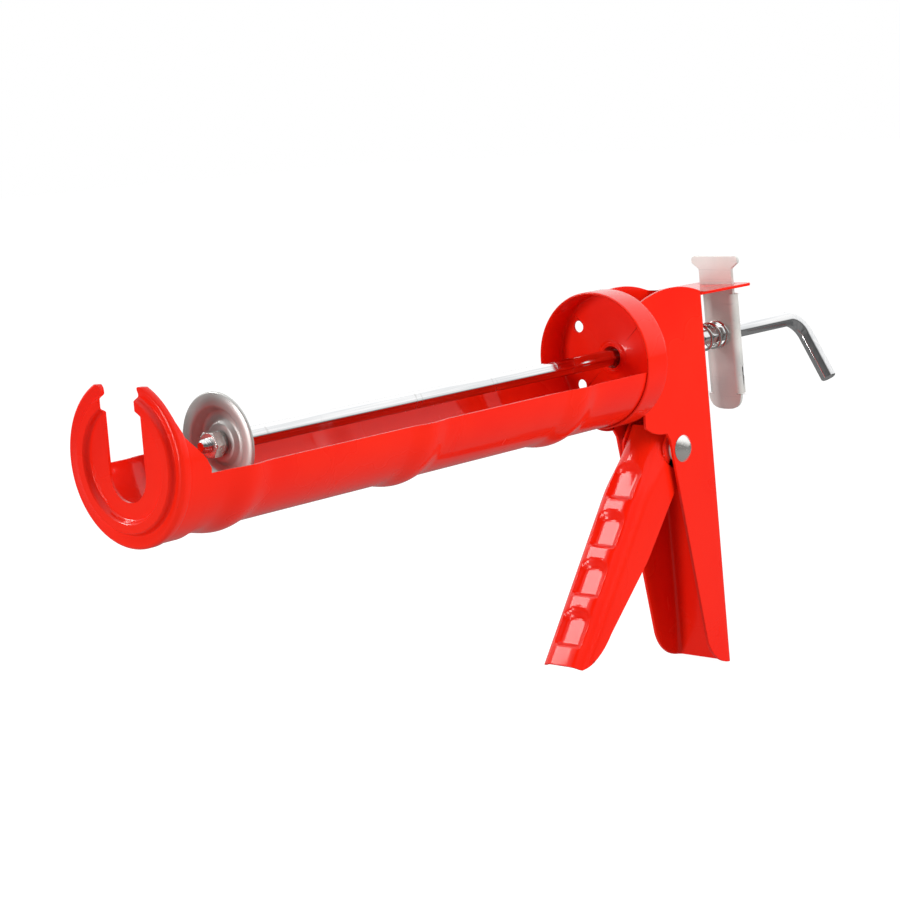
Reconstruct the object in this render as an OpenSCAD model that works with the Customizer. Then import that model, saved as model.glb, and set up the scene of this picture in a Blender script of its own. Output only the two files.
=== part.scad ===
// Half-barrel caulking gun with a hexagonal push rod, friction drive and thumb release.
// +X runs along the barrel to the nozzle, +Z is up.
// The origin is on the barrel axis, on the cartridge side of the rear cup's floor.

/* [Barrel] */
// Length between the cup floor and the inside of the front cap
barrel_length = 240; // [190:1:300]
// Inside diameter of the cradle that holds the cartridge
cradle_bore = 49; // [44:0.5:60]
// Sheet thickness of the cradle
cradle_wall = 0.8; // [0.6:0.1:1.6]
// Drop of the cradle's cut edges below the barrel axis
edge_drop = 3.5; // [0:0.5:8]
// Gap between each end of the cradle and the face it points at
cradle_end_gap = 3; // [2.5:0.5:5]
// Height of the stiffening beads around the cradle
bead_rise = 1.5; // [0:0.1:2.5]
// Length of one stiffening bead along the barrel
bead_length = 20; // [12:1:26]
// Distance from the cup floor to the first bead
bead_start = 50; // [40:1:60]
// Number of beads
bead_count = 3; // [1:1:3]

/* [Front cap] */
// Sheet thickness of the cap
cap_wall = 0.9; // [0.7:0.1:1.6]
// Length of the cap's skirt along the barrel
cap_skirt = 11; // [8:0.5:18]
// Width of the nozzle slot
slot_width = 17; // [14:0.5:20]
// Drop of the slot's round bottom centre below the axis
slot_drop = 3.8; // [0:0.1:6]
// Height of the pressed ring on the cap face
ring_rise = 2; // [0.5:0.1:3]
// Middle radius of the pressed ring
ring_radius = 20; // [18:0.5:21]
// Width of the pressed ring
ring_width = 5; // [3:0.5:6]
// Height above the axis where the horns leave the skirt
horn_root = 14; // [10:0.5:16]
// Height of the skirt's cut edge above the axis
skirt_top = 7; // [5:0.5:9]
// Drop of the horns' tips below the cap's edge
horn_cut = 2.4; // [1:0.1:5]
// Length of the rolled rim at the cap's edge
rim_length = 2.4; // [1.5:0.1:3]
// Extra radius of the rolled rim
rim_rise = 0.5; // [0.2:0.1:1]

/* [Rear cup] */
// Depth of the cup in front of its floor
cup_depth = 12; // [9:0.5:20]
// Sheet thickness of the cup
cup_wall = 1; // [0.7:0.1:1.6]
// Diameter of the four holes in the cup floor
cup_hole_d = 4.5; // [3:0.1:5]
// Height between the upper and lower holes
cup_hole_rise = 23; // [18:0.5:25]
// Height of the lip around the rod hole
lip_rise = 0.8; // [0.4:0.1:1.5]

/* [Frame] */
// Outside width of the handle frame
frame_width = 27; // [22:0.1:33]
// Sheet thickness of the frame
frame_wall = 1.2; // [0.8:0.1:1.6]
// Length of the frame behind the cup at its top
frame_length = 42; // [38:0.5:50]
// Height of the frame's top rear corner above the axis
frame_top = 20.5; // [19:0.5:23]
// Height that the frame's top edge is arched
frame_arch = 4; // [1:0.5:6]
// Depth of the handle's lower end below the axis
handle_drop = 131; // [105:1:160]
// Lean of the handle's back edge from upright
handle_lean = 2.8; // [0:0.1:5]
// Outside fold radius of the frame's back
frame_fold = 3; // [2:0.5:5]
// Radius of the handle's lower front corner
handle_toe = 17; // [10:1:20]
// Length of the top flange behind the frame
flange_length = 35; // [33:0.5:45]

/* [Pivot] */
// Distance of the trigger pivot behind the cup floor
pivot_back = 23.9; // [20:0.1:28]
// Depth of the trigger pivot below the cup's edge
pivot_below = 12.6; // [11:0.1:16]
// Diameter of the rivet's shank
pivot_d = 5; // [4:0.1:6]
// Diameter of the rivet's domed head
rivet_head_d = 10.6; // [8:0.1:12]
// Height of the rivet's domed head
rivet_head_h = 2.6; // [1.5:0.1:4]
// Diameter of the rivet's peened tail
rivet_tail_d = 8.6; // [7:0.1:10]
// Height of the rivet's peened tail
rivet_tail_h = 1.5; // [0.8:0.1:2.5]
// Thickness of the washers beside the trigger
pivot_washer_t = 1.5; // [0.8:0.1:2]

/* [Trigger] */
// Sheet thickness of the trigger
trigger_wall = 1.2; // [0.8:0.1:1.6]
// Length of the trigger below its pivot
trigger_length = 101; // [80:1:112]
// Distance from the pivot to the trigger's front face
trigger_front = 11.9; // [10:0.1:13]
// Lean of the trigger from upright when released
trigger_lean = 36; // [30:0.5:40]
// Outside fold radius of the trigger's front
trigger_fold = 6.5; // [4:0.5:7.5]
// Depth below the axis where the arms push the drive plates
push_drop = 13.5; // [12:0.5:14]
// Radius of the arm's tip
arm_tip = 4; // [3:0.1:4.5]
// Lean of the arms behind upright when released
arm_lean = 20; // [12:1:22]
// Radius of the arms around the pivot
arm_boss = 8; // [6:0.5:9]

/* [Drive] */
// Thickness of one drive plate
drive_plate_t = 2.4; // [1.6:0.1:2.6]
// Height of the drive plates above the axis
drive_plate_top = 13; // [10:0.5:15]
// Depth of the drive plates below the axis
drive_plate_low = 17; // [16:0.5:18]
// Outside diameter of the drive spring
drive_spring_d = 15; // [13:0.5:18]
// Wire diameter of the drive spring
drive_wire = 1.4; // [1:0.1:1.5]
// Turns of the drive spring
drive_turns = 4.5; // [3:0.5:5]

/* [Release] */
// Distance of the release plate's hinge behind the cup floor
release_back = 71.5; // [69:0.5:74]
// Lean of the release plate when it grips the rod
release_lean = 3.2; // [2:0.1:5]
// Sheet thickness of the release plate
release_wall = 1.6; // [1.2:0.1:2]
// Width of the release plate
release_width = 16; // [14:0.5:18]
// Depth of the release plate's side flanges
release_flange = 2.2; // [1.6:0.1:8]
// Depth of the release plate below the axis
release_low = 31.5; // [24:0.5:36]
// Width of the release plate's T head
head_width = 22.5; // [20:0.5:26]
// Height of the T head's top above the axis
head_top = 32; // [29:0.5:38]
// Radius of the release plate's lower corners
release_corner = 6.5; // [2:0.5:7]
// Outside diameter of the release spring
release_spring_d = 11.5; // [10.5:0.5:14]
// Wire diameter of the release spring
release_wire = 1.3; // [0.8:0.1:1.4]
// Turns of the release spring
release_turns = 6; // [4:0.5:8]

/* [Rod] */
// Size of the hexagonal rod across its flats
rod_flats = 6; // [5:0.1:7.2]
// Distance of the hook's bend behind the cup floor
hook_back = 129; // [126:1:150]
// Length of the hook from the rod's axis
hook_length = 30; // [20:1:45]
// Bend radius of the rod at the hook
hook_bend = 9; // [8:0.5:14]
// Turn of the hook away from straight down
hook_turn = 30; // [0:30:60]
// Clearance around the rod in its guides
rod_gap = 0.8; // [0.5:0.1:1]

/* [Piston] */
// Distance of the piston plate behind the inside of the front cap
piston_back = 37; // [32:1:150]
// Diameter of the piston plate
piston_d = 33; // [30:0.5:42]
// Sheet thickness of the piston plate
piston_wall = 1.2; // [0.8:0.1:1.5]
// Depth of the ring pressed into the piston plate
dish_depth = 3; // [2:0.1:4]
// Depth of the piston plate's middle behind its rim
boss_depth = 1.5; // [1:0.1:1.8]
// Diameter of the threaded spigot
spigot_d = 4.6; // [4:0.1:5]
// Size of the piston nut across its flats
nut_flats = 8; // [7:0.1:10]
// Width of the piston plate's flat rim
piston_rim = 4.5; // [2:0.5:6]
// Thickness of the piston nut
nut_t = 4; // [3:0.1:5]
// Length of thread that stands out of the nut
thread_out = 3; // [1:0.5:5]

/* [Hidden] */
$fn = 96;

red = [0.85, 0.12, 0.07];
zinc = [0.72, 0.73, 0.74];
steel = [0.58, 0.59, 0.60];
chrome = [0.82, 0.83, 0.84];

fit_gap = 0.08;
coil_gap = 0.1;
side_gap = 0.15;
arm_gap = 0.3;
neck_gap = 0.65;
hinge_gap = 0.72;
plate_side_gap = 1.3;
join = 0.01;
over = 1;

cradle_r = cradle_bore / 2 + cradle_wall;
cap_r = cradle_r + cap_wall;
cup_r = cradle_r + cup_wall;
cap_face = barrel_length + cap_wall;
skirt_back = cap_face - cap_skirt;
bead_margin = 3;
bead_end = barrel_length - cradle_end_gap - cap_skirt - bead_length / 2 - bead_margin;
bead_pitch = bead_count > 1 ? (bead_end - bead_start) / (bead_count - 1) : 0;

rod_corners = rod_flats / cos(30);
guide_bore = rod_corners + 2 * rod_gap;
bush_wall = 0.7;
bush_r = guide_bore / 2 + bush_wall;
bush_flare = 1.2;
bush_tail_t = 0.8;

wall_front = -cup_wall;
wall_back = wall_front - frame_wall;
frame_half = frame_width / 2;
frame_inner = frame_half - frame_wall;
cup_hole_y = frame_half + cup_hole_d / 2 + side_gap;
frame_back = -cup_wall - frame_length;
web_tilt = tan(handle_lean);
pivot_x = -pivot_back;
pivot_drop = cup_r + pivot_below;
flange_width = frame_width - 1;

trigger_half = frame_inner - pivot_washer_t - 2 * side_gap;
trigger_inner = trigger_half - trigger_wall;
washer_mid = (trigger_half + frame_inner) / 2;
arm_length = (pivot_drop - push_drop) / cos(arm_lean);

drive_back = pivot_x - arm_length * sin(arm_lean) + arm_tip + arm_gap;
drive_mid = drive_back + drive_plate_t;
drive_front = drive_mid + drive_plate_t;
seat_t = 1;
seat_rim = 0.8;
drive_plate_w = 2 * (frame_inner - plate_side_gap);

release_top = frame_top - frame_wall / 2;
release_face = -release_back + release_wall / 2 - release_top * tan(release_lean);

piston_x = barrel_length - piston_back;
boss_back = piston_x - boss_depth;
backing_t = 1.5;
backing_r = 6;
shoulder = boss_back - backing_t;
lock_t = 1.3;
nut_back = boss_back + piston_wall + lock_t;
rod_tip = nut_back + nut_t + thread_out;

// Position of the frame's back at a height
function web_x(z) = frame_back - (frame_top - z) * web_tilt;

// Points on an arc, from one angle to another
function arc(cx, cy, r, from, to, steps) =
    [for (i = [0:steps]) let (a = from + (to - from) * i / steps) [cx + r * cos(a), cy + r * sin(a)]];

// Smooth hump that is 1 at its middle and 0 at its ends
function hump(t) = abs(t) < 1 ? (1 + cos(180 * t)) / 2 : 0;

// Points of a hump on the outside of a cradle, as [radius, distance along the barrel]
function bead_points(centre, radius) =
    [for (i = [-6:6]) [radius + bead_rise * hump(i / 6), centre + bead_length / 2 * i / 6]];

// Rings of points around a helix along X, and the faces that join them
function coil_ring(x, r, a, wire, sides) =
    [for (k = [0:sides - 1])
        let (s = 360 * k / sides)
        [x + wire / 2 * sin(s), (r + wire / 2 * cos(s)) * cos(a), (r + wire / 2 * cos(s)) * sin(a)]];

module along_x(x) {
    translate([x, 0, 0])
        rotate([0, 90, 0])
            children();
}

// Washer or tube along X
module ring_x(x, length, outer, inner) {
    along_x(x)
        difference() {
            cylinder(r = outer, h = length);
            translate([0, 0, -over])
                cylinder(r = inner, h = length + 2 * over);
        }
}

// Round bar along Y, centred on the barrel's middle plane
module bar_y(x, z, r, from, to) {
    translate([x, to, z])
        rotate([90, 0, 0])
            cylinder(r = r, h = to - from);
}

// Outline in X and Z, given thickness along Y
module side_slab(from, to) {
    translate([0, to, 0])
        rotate([90, 0, 0])
            linear_extrude(to - from)
                children();
}

// Channel section with two rounded corners at the +X side
module channel_2d(depth, half, r) {
    translate([-depth, -half])
        square([depth - r, 2 * half]);
    translate([-r - join, -half + r])
        square([r + join, 2 * (half - r)]);
    for (side = [-1, 1])
        translate([-r, side * (half - r)])
            circle(r = r);
}

// Open helical spring along X
module coil(x, length, outer, wire, turns) {
    sides = 8;
    per_turn = 20;
    steps = round(turns * per_turn);
    run = length - wire;
    points = [for (i = [0:steps])
        each coil_ring(x + wire / 2 + run * i / steps, (outer - wire) / 2, 360 * i / per_turn, wire, sides)];
    walls = [for (i = [0:steps - 1], k = [0:sides - 1])
        [i * sides + k, i * sides + (k + 1) % sides,
            (i + 1) * sides + (k + 1) % sides, (i + 1) * sides + k]];
    ends = [[for (k = [sides - 1:-1:0]) k], [for (k = [0:sides - 1]) steps * sides + k]];
    polyhedron(points = points, faces = concat(walls, ends));
}

// ---- Fixed pieces ----

// Half barrel with rounded beads, open at the top
module cradle() {
    from = cradle_end_gap;
    to = barrel_length - cradle_end_gap;
    beads = [for (i = [0:bead_count - 1]) bead_start + i * bead_pitch];
    outside = concat([[cradle_r, from]], [for (c = beads) each bead_points(c, cradle_r)], [[cradle_r, to]]);
    inside = [for (i = [len(outside) - 1:-1:0]) [outside[i][0] - cradle_wall, outside[i][1]]];
    color(red)
        intersection() {
            along_x(0)
                rotate_extrude()
                    polygon(concat(outside, inside));
            translate([0, -2 * cradle_r, -2 * cradle_r - edge_drop])
                cube([barrel_length, 4 * cradle_r, 2 * cradle_r]);
        }
}

// Face of the front cap with its pressed ring, as [radius, distance along the barrel]
function cap_line(level) =
    concat([[0, level]],
        [for (i = [-6:6]) [ring_radius + ring_width / 2 * i / 6, level + ring_rise * hump(i / 6)]]);

module cap_shell() {
    front = cap_line(cap_face);
    back = cap_line(barrel_length);
    round = 0.6;
    rim_r = cap_r + rim_rise;
    outer = [[rim_r - round, cap_face], [rim_r, cap_face - round], [rim_r, cap_face - rim_length],
        [cap_r, cap_face - rim_length - rim_rise], [cap_r, skirt_back], [cradle_r, skirt_back],
        [cradle_r, barrel_length]];
    rotate_extrude()
        polygon(concat(front, outer, [for (i = [len(back) - 1:-1:0]) back[i]]));
}

// Side outline of what is left of the skirt
module skirt_outline() {
    front = cap_face + ring_rise + over;
    horn_top = cap_r - horn_cut;
    inner_bend = 5.5;
    outer_bend = 4;
    polygon(concat(
        [[skirt_back - over, -2 * cap_r], [front, -2 * cap_r], [front, horn_top],
            [barrel_length, horn_top]],
        arc(barrel_length - inner_bend, horn_root, inner_bend, 0, -50, 6),
        arc(skirt_back + outer_bend, skirt_top - outer_bend, outer_bend, 75, 180, 6),
        [[skirt_back, 0], [skirt_back - over, 0]]));
}

module front_cap() {
    color(red)
        difference() {
            intersection() {
                along_x(0)
                    cap_shell();
                side_slab(-2 * cap_r, 2 * cap_r)
                    skirt_outline();
            }
            along_x(barrel_length - over)
                translate([slot_drop, 0, 0])
                    cylinder(d = slot_width, h = cap_wall + ring_rise + 2 * over);
            translate([barrel_length - over, -slot_width / 2, -slot_drop])
                cube([cap_wall + ring_rise + 2 * over, slot_width, 2 * cap_r]);
        }
}

module rear_cup() {
    lip_r = bush_r + cup_wall;
    color(red)
        difference() {
            union() {
                along_x(-cup_wall)
                    difference() {
                        cylinder(r = cup_r, h = cup_wall + cup_depth);
                        translate([0, 0, cup_wall])
                            cylinder(r = cradle_r, h = cup_depth + over);
                    }
                along_x(-cup_wall / 2)
                    cylinder(r = lip_r, h = cup_wall / 2 + lip_rise);
            }
            along_x(-cup_wall - over)
                cylinder(r = bush_r, h = cup_wall + lip_rise + 2 * over);
            for (side = [-1, 1], up = [-1, 1])
                along_x(-cup_wall - over)
                    translate([-up * cup_hole_rise / 2, side * cup_hole_y, 0])
                        cylinder(d = cup_hole_d, h = cup_wall + 2 * over);
        }
}

// Swaged tube that guides the rod and holds the cup to the frame
module rod_guide_bush() {
    color(red)
        union() {
            ring_x(wall_back, lip_rise - wall_back, bush_r, guide_bore / 2);
            ring_x(wall_back - bush_tail_t, bush_tail_t, bush_r + bush_flare, guide_bore / 2);
        }
}

// Side outline of the frame, from its front edge round to the handle's lower end
module frame_outline() {
    arch_r = (frame_length * frame_length / 4 + frame_arch * frame_arch) / (2 * frame_arch);
    half_angle = asin(frame_length / 2 / arch_r);
    under_cup = over - cup_r;
    front_edge = 7.6;
    edge_rise = 4.5;
    lobe_r = 21.3;
    lobe_ahead = 10.4;
    lobe_rise = 15.1;
    polygon(concat(
        [[wall_front, under_cup]],
        arc(wall_front - frame_length / 2, frame_top + frame_arch - arch_r, arch_r,
            90 - half_angle, 90 + half_angle, 12),
        arc(web_x(-handle_drop), handle_toe - handle_drop, handle_toe, 270, 345, 8),
        [[pivot_x + front_edge, edge_rise - pivot_drop]],
        arc(pivot_x + lobe_ahead, under_cup + lobe_rise, lobe_r, 268, 306, 8)));
}

module frame() {
    reach = frame_length + handle_drop;
    color(red)
        difference() {
            union() {
                intersection() {
                    side_slab(-frame_half, frame_half)
                        frame_outline();
                    translate([frame_back, 0, frame_top])
                        rotate([0, handle_lean, 0])
                            translate([0, 0, -2 * handle_drop])
                                linear_extrude(3 * handle_drop)
                                    rotate(180)
                                        difference() {
                                            channel_2d(reach, frame_half, frame_fold);
                                            translate([-frame_wall, 0])
                                                channel_2d(reach, frame_inner, frame_fold - frame_wall);
                                        }
                }
                // Front wall, folded in from the sides behind the cup
                translate([wall_back, -frame_inner - join, -frame_top])
                    cube([frame_wall, 2 * (frame_inner + join), 2 * frame_top]);
                top_flange();
            }
            along_x(wall_back - over)
                cylinder(r = bush_r, h = frame_wall + 2 * over);
            along_x(web_x(0) - over)
                cylinder(r = guide_bore / 2, h = frame_wall + 3 * over);
            bar_y(pivot_x, -pivot_drop, pivot_d / 2, -frame_half - over, frame_half + over);
        }
}

// Flat top behind the frame, with rounded rear corners and a slot for the release plate
module top_flange() {
    corner = 3;
    end = web_x(frame_top) - flange_length;
    half = flange_width / 2;
    neck = release_width + 2 * neck_gap;
    gap = release_wall + 2 * hinge_gap;
    difference() {
        union() {
            translate([end + corner, -half, frame_top - frame_wall])
                cube([flange_length - corner + frame_wall, flange_width, frame_wall]);
            translate([end, -half + corner, frame_top - frame_wall])
                cube([corner + over, flange_width - 2 * corner, frame_wall]);
            for (side = [-1, 1])
                translate([end + corner, side * (half - corner), frame_top - frame_wall])
                    cylinder(r = corner, h = frame_wall);
        }
        translate([-release_back - gap / 2, -neck / 2, frame_top - frame_wall - over])
            cube([gap, neck, frame_wall + 2 * over]);
    }
}

module pivot_rivet() {
    dome_r = (pow(rivet_head_d / 2, 2) + pow(rivet_head_h, 2)) / (2 * rivet_head_h);
    color(zinc)
        union() {
            bar_y(pivot_x, -pivot_drop, pivot_d / 2, -frame_half - join, frame_half + join);
            intersection() {
                translate([pivot_x, frame_half + rivet_head_h - dome_r, -pivot_drop])
                    sphere(r = dome_r);
                bar_y(pivot_x, -pivot_drop, rivet_head_d, frame_half, frame_half + 2 * rivet_head_h);
            }
            bar_y(pivot_x, -pivot_drop, rivet_tail_d / 2, -frame_half - rivet_tail_h, -frame_half);
        }
}

// Sleeve on the rivet that keeps the trigger's sides apart
module pivot_spacer() {
    half = trigger_inner - side_gap;
    wall = 1.7;
    color(steel)
        difference() {
            bar_y(pivot_x, -pivot_drop, pivot_d / 2 + wall, -half, half);
            bar_y(pivot_x, -pivot_drop, pivot_d / 2 + fit_gap, -half - over, half + over);
        }
}

// Two washers between the trigger and the frame
module pivot_washers() {
    rim = 3;
    color(zinc)
        for (side = [-1, 1])
            difference() {
                bar_y(pivot_x, -pivot_drop, pivot_d / 2 + rim,
                    side * washer_mid - pivot_washer_t / 2, side * washer_mid + pivot_washer_t / 2);
                bar_y(pivot_x, -pivot_drop, pivot_d / 2 + fit_gap,
                    side * washer_mid - pivot_washer_t, side * washer_mid + pivot_washer_t);
            }
}

// ---- Trigger ----

// Side outline of the trigger's lower channel, measured from the pivot
module trigger_outline() {
    low = -trigger_length;
    toe = 30;
    toe_ahead = 19.1;
    toe_rise = 23;
    channel_top = 1.5;
    waist = 5.8;
    waist_low = low / 2 + 4;
    shoulder_low = -14;
    polygon(concat(
        [[trigger_front, channel_top], [trigger_front, low + over]],
        arc(trigger_front + toe_ahead, low + toe_rise, toe, 230, 184, 10),
        [[-waist, waist_low], [-arm_boss, shoulder_low], [-arm_boss, 0], [0, arm_boss]]));
}

// Side outline of an arm from the pivot up to the drive plates
module arm_outline() {
    turn = 90 + arm_lean - trigger_lean;
    along = [cos(turn), sin(turn)];
    across = [-sin(turn), cos(turn)];
    neck = arm_tip - 1.8;
    neck_length = drive_plate_low - push_drop + arm_tip;
    low = (arm_length - neck_length) * along;
    tip = arm_length * along;
    polygon([arm_boss * across, -arm_boss * across, low - neck * across, tip - neck * across,
        tip + neck * across, low + neck * across]);
    circle(r = arm_boss);
    translate(tip)
        circle(r = arm_tip);
}

module trigger() {
    color(red)
        translate([pivot_x, 0, -pivot_drop])
            rotate([0, -trigger_lean, 0])
                difference() {
                    union() {
                        intersection() {
                            side_slab(-trigger_half, trigger_half)
                                trigger_outline();
                            translate([trigger_front, 0, -trigger_length - over])
                                linear_extrude(trigger_length + 20)
                                    difference() {
                                        channel_2d(60, trigger_half, trigger_fold);
                                        translate([-trigger_wall, 0])
                                            channel_2d(60 + over, trigger_inner,
                                                trigger_fold - trigger_wall);
                                    }
                        }
                        side_slab(trigger_inner, trigger_half)
                            arm_outline();
                        side_slab(-trigger_half, -trigger_inner)
                            arm_outline();
                    }
                    bar_y(0, 0, pivot_d / 2 + fit_gap, -trigger_half - over, trigger_half + over);
                }
}

// ---- Drive ----

// Plate with a hexagonal hole that grips the rod when it is pushed askew
module drive_plate(x) {
    corner = 3;
    half = drive_plate_w / 2;
    color(steel)
        difference() {
            union() {
                translate([x, -half + corner, -drive_plate_low])
                    cube([drive_plate_t, drive_plate_w - 2 * corner, drive_plate_low + drive_plate_top]);
                translate([x, -half, -drive_plate_low + corner])
                    cube([drive_plate_t, drive_plate_w, drive_plate_low + drive_plate_top - 2 * corner]);
                for (side = [-1, 1], z = [-drive_plate_low + corner, drive_plate_top - corner])
                    along_x(x)
                        translate([-z, side * (half - corner), 0])
                            cylinder(r = corner, h = drive_plate_t);
            }
            along_x(x - over)
                rotate(30)
                    cylinder(d = guide_bore, h = drive_plate_t + 2 * over, $fn = 6);
        }
}

module drive_plate_rear() {
    drive_plate(drive_back);
}

module drive_plate_front() {
    drive_plate(drive_mid);
}

module drive_spring_washer() {
    color(zinc)
        ring_x(drive_front, seat_t, drive_spring_d / 2 + seat_rim, guide_bore / 2);
}

module drive_spring() {
    from = drive_front + seat_t;
    color(chrome)
        coil(from, wall_back - from, drive_spring_d, drive_wire, drive_turns);
}

// ---- Release ----

// Front view of the release plate, as an outline in Y and Z measured from its hinge
module release_outline() {
    half = release_width / 2;
    head_half = head_width / 2;
    low = -release_top - release_low;
    high = head_top - release_top;
    taper_low = high - 5.3;
    taper_high = high - 2.9;
    chamfer = 1.5;
    translate([-half, low + release_corner])
        square([release_width, high - low - release_corner - chamfer]);
    translate([-half + release_corner, low])
        square([release_width - 2 * release_corner, release_corner + over]);
    for (side = [-1, 1])
        translate([side * (half - release_corner), low + release_corner])
            circle(r = release_corner);
    polygon([[-half, taper_low], [half, taper_low], [head_half, taper_high],
        [head_half, high - chamfer], [head_half - chamfer, high], [chamfer - head_half, high],
        [-head_half, high - chamfer], [-head_half, taper_high]]);
}

module release_plate() {
    half = release_width / 2;
    flange_low = -release_top - release_low + release_corner;
    flange_top = -3.5;
    notch = 4;
    notch_depth = 1.2;
    hole_slack = 0.2;
    color(zinc)
        difference() {
            translate([-release_back, 0, release_top])
                rotate([0, release_lean, 0])
                    union() {
                        translate([-release_wall / 2, 0, 0])
                            rotate([90, 0, 90])
                                linear_extrude(release_wall)
                                    release_outline();
                        for (side = [-1, 1])
                            difference() {
                                translate([-release_wall / 2 - release_flange,
                                    side > 0 ? half - release_wall : -half, flange_low])
                                    cube([release_flange + join, release_wall, flange_top - flange_low]);
                                translate([-release_wall / 2 - release_flange - over,
                                    -release_width, -release_top - release_low / 2 - notch / 2])
                                    cube([notch_depth + over, 2 * release_width, notch]);
                            }
                    }
            along_x(release_face - release_wall - 3 * over)
                cylinder(r = guide_bore / 2 + hole_slack, h = release_wall + 6 * over);
        }
}

module release_spring() {
    half = release_spring_d / 2;
    from = release_face + half * tan(release_lean) + coil_gap;
    color(chrome)
        coil(from, web_x(half) - coil_gap - from, release_spring_d, release_wire, release_turns);
}

// ---- Rod and piston ----

module hex_bar(length) {
    cylinder(d = rod_corners, h = length, $fn = 6);
}

module rod() {
    start = -hook_back + hook_bend;
    color(chrome)
        rotate([hook_turn, 0, 0])
            union() {
                along_x(start)
                    hex_bar(shoulder - start);
                translate([start, 0, -hook_bend])
                    rotate([90, 0, 0])
                        rotate(90)
                            rotate_extrude(angle = 90)
                                translate([hook_bend, 0])
                                    circle(d = rod_corners, $fn = 6);
                translate([-hook_back, 0, -hook_length])
                    hex_bar(hook_length - hook_bend);
                along_x(shoulder - join)
                    cylinder(d = spigot_d, h = rod_tip - shoulder + join);
            }
}

module piston_backing_washer() {
    color(zinc)
        ring_x(shoulder, backing_t, backing_r, spigot_d / 2);
}

// Middle of the piston plate, its pressed ring and its rim, as [radius, distance]
function piston_line(level) =
    let (rim_in = piston_d / 2 - piston_rim, boss_r = 6.3, slope = 1.2)
    [[spigot_d / 2, level - boss_depth], [boss_r, level - boss_depth],
        [boss_r + slope, level - dish_depth], [rim_in - slope, level - dish_depth],
        [rim_in, level], [piston_d / 2, level]];

module piston_plate() {
    front = piston_line(piston_x + piston_wall);
    back = piston_line(piston_x);
    color(zinc)
        along_x(0)
            rotate_extrude()
                polygon(concat(front, [for (i = [len(back) - 1:-1:0]) back[i]]));
}

module piston_lock_washer() {
    color(steel)
        ring_x(boss_back + piston_wall, lock_t, nut_flats / 2, spigot_d / 2);
}

module piston_nut() {
    color(zinc)
        along_x(nut_back)
            difference() {
                cylinder(d = nut_flats / cos(30), h = nut_t, $fn = 6);
                translate([0, 0, -over])
                    cylinder(d = spigot_d, h = nut_t + 2 * over);
            }
}

frame();
rear_cup();
rod_guide_bush();
cradle();
front_cap();
pivot_rivet();
pivot_spacer();
pivot_washers();
trigger();
drive_plate_front();
drive_plate_rear();
drive_spring_washer();
drive_spring();
release_plate();
release_spring();
rod();
piston_backing_washer();
piston_plate();
piston_lock_washer();
piston_nut();
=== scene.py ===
"""Looks of a half-barrel caulking gun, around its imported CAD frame. New pieces are measured in mm."""

from math import asin, cos, degrees, pi, radians, sin, sqrt, tan

import bmesh
import bpy
from mathutils import Matrix, Vector


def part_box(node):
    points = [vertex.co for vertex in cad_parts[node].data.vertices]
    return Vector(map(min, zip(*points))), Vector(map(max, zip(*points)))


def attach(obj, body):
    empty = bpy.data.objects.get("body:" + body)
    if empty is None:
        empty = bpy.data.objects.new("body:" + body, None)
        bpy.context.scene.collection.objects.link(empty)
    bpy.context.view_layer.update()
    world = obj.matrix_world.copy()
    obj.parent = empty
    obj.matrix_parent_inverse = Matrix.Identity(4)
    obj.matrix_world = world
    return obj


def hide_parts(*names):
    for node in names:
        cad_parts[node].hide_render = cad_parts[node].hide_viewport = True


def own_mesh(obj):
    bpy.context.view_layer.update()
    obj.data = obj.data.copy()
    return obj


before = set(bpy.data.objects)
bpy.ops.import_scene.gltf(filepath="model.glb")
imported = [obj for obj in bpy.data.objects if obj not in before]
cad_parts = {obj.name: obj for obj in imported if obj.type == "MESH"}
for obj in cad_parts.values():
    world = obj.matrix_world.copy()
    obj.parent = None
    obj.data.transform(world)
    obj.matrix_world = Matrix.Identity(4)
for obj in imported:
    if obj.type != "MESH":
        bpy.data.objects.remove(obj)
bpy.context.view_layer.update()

MM = 0.001

# ---- Camera and studio ----


def aim_camera():
    """The camera, from its own three directions."""
    right = Vector((-0.6659542, 0.7427046, -0.0699642))
    up = Vector((-0.1650962, -0.0552720, 0.9847275))
    back = Vector((0.7274945, 0.6673342, 0.1594264))
    camera = bpy.data.objects.new("camera", bpy.data.cameras.new("camera"))
    camera.data.sensor_width = 36
    camera.data.lens = 85.66
    camera.data.clip_start = 0.01
    camera.matrix_world = Matrix.Translation((0.6466065, 0.5051151, 0.1004709)) @ Matrix(
        (right, up, back)
    ).transposed().to_4x4()
    bpy.context.scene.collection.objects.link(camera)
    bpy.context.scene.camera = camera


def softbox(name, place, target, size, watts, mirrored=True):
    """A rectangular lamp turned to a point. Shiny surfaces show it only if it is mirrored."""
    lamp = bpy.data.lights.new(name, "AREA")
    lamp.shape = "RECTANGLE"
    lamp.size, lamp.size_y = size
    lamp.energy = watts
    lit = bpy.data.objects.new(name, lamp)
    lit.location = place
    lit.rotation_euler = (Vector(target) - Vector(place)).to_track_quat("-Z", "Y").to_euler()
    lit.visible_glossy = mirrored
    bpy.context.scene.collection.objects.link(lit)


aim_camera()
softbox(
    "key_softbox",
    place=(-0.15, 1.2, 0.35),
    target=(0.05, 0, -0.03),
    size=(0.8, 0.7),
    watts=13.5,
    mirrored=False,
)
softbox(
    "nozzle_softbox",
    place=(1.3, -0.35, 0.1),
    target=(0.2, 0, -0.03),
    size=(0.3, 0.5),
    watts=7.5,
)
softbox(
    "far_softbox",
    place=(0.47, -0.80, 0.72),
    target=(0.03, 0, -0.07),
    size=(0.32, 0.32),
    watts=4.0,
)

# ---- Finishes ----


def grey(level):
    return (level, level, level, 1)


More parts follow.
